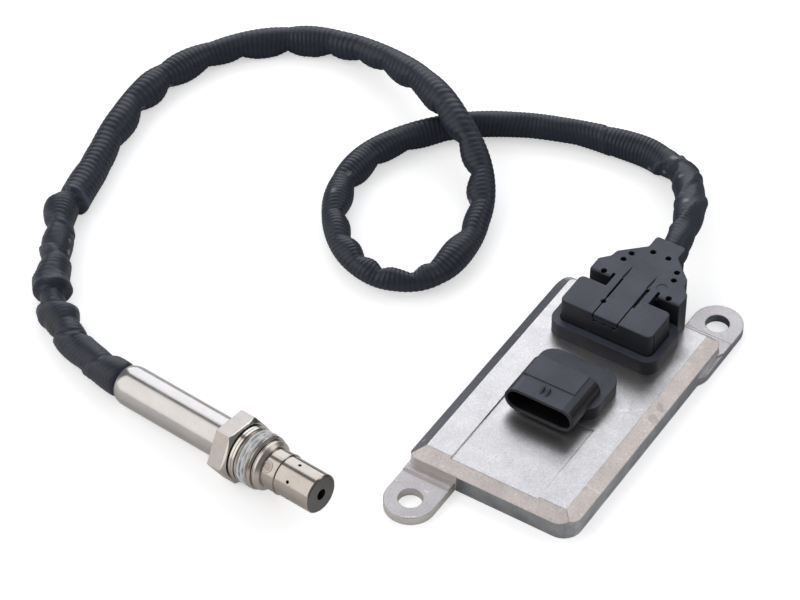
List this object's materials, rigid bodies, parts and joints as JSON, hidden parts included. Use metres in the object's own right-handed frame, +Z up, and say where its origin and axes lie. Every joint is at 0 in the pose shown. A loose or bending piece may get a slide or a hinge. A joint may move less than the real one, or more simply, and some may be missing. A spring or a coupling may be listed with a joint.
{
  "type": "nitrogen oxide sensor",
  "caption": "Exhaust gas nitrogen oxide sensor: cast control unit with two headers, ribbed conduit laid in a loop, and a steel probe with a hexagon swivel nut",
  "frame": {"origin": "on the underside of the control unit, half way between the two lug holes", "axes": "+Z up out of the control unit's top face, +Y along its long side from the open vehicle header towards the plugged probe header, +X across its short side"},
  "size_m": [0.2583, 0.2292, 0.0302],
  "materials": {
    "cast_aluminium": "satin",
    "plate_aluminium": "satin",
    "black_plastic": "satin",
    "conduit_plastic": "satin",
    "inner_plastic": "matte",
    "seal_rubber": "matte",
    "lead_insulation": "matte",
    "board_green": "gloss",
    "chip_black": "matte",
    "can_aluminium": "satin",
    "contact_brass": "satin",
    "zinc_steel": "satin",
    "sleeve_steel": "polished",
    "nut_steel": "satin",
    "tube_steel": "satin",
    "ceramic": "matte",
    "talc": "matte"
  },
  "bodies": {
    "sensor": {"housing": "cast_aluminium", "base_plate": "plate_aluminium", "lid_gasket": "seal_rubber", "lid_screws": "zinc_steel", "circuit_board": "board_green", "processor": "chip_black", "driver_chips": "chip_black", "capacitors": "can_aluminium", "choke_coil": "chip_black", "board_screws": "zinc_steel", "vehicle_header": "black_plastic", "vehicle_pins": "contact_brass", "vehicle_gasket": "seal_rubber", "sensor_header": "black_plastic", "sensor_pins": "contact_brass", "sensor_gasket": "seal_rubber", "plug_cover": "black_plastic", "hood_base": "black_plastic", "plug_carrier": "inner_plastic", "plug_terminals": "contact_brass", "plug_seal": "seal_rubber", "plug_leads": "lead_insulation", "cable_ferrule": "zinc_steel", "conduit": "conduit_plastic", "rear_sleeve": "sleeve_steel", "cable_grommet": "seal_rubber", "probe_leads": "lead_insulation", "contact_holder": "ceramic", "contact_springs": "zinc_steel", "sensor_body": "nut_steel", "rear_insulator": "ceramic", "talc_packing": "talc", "front_insulator": "ceramic", "sensing_element": "ceramic", "inner_protection_tube": "tube_steel", "outer_protection_tube": "tube_steel"},
    "gland_nut": {"gland_nut": "nut_steel"}
  },
  "joints": [
    {"name": "nut_turn", "type": "hinge", "parent": "sensor", "child": "gland_nut", "pos_m": [-0.0849, -0.0822, 0.01097], "axis": [0.9877, -0.1371, 0.0751], "continuous": true}
  ]
}
